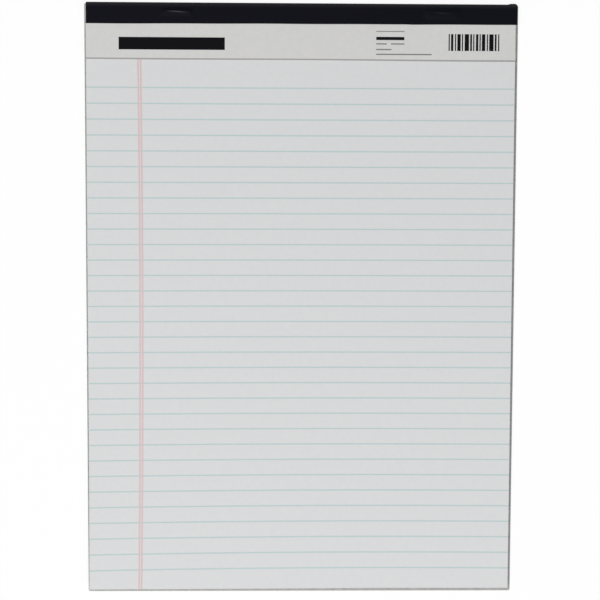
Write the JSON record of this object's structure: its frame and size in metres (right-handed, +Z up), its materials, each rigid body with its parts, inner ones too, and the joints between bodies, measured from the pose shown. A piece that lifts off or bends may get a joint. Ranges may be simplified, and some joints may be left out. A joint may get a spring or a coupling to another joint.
{
  "type": "legal pad",
  "caption": "Letter-size ruled writing pad, taped and stapled across the head, with tear-off sheets over a chipboard back.",
  "frame": {"origin": "the middle of the underside of the pad's box, on the table that it lies on", "axes": "+X across the pad, to the right of a writer; +Y up the page, to the bound head; +Z up from the table"},
  "size_m": [0.2194, 0.3014, 0.0061],
  "materials": {
    "chipboard": "matte",
    "white_paper": "matte",
    "grey_card": "matte",
    "navy_tape": "satin",
    "staple_wire": "satin"
  },
  "bodies": {
    "root": {"backing_board": "chipboard", "ruled_sheets": "white_paper", "header_label": "grey_card", "binding_tape": "navy_tape", "staples": "staple_wire"}
  },
  "joints": []
}
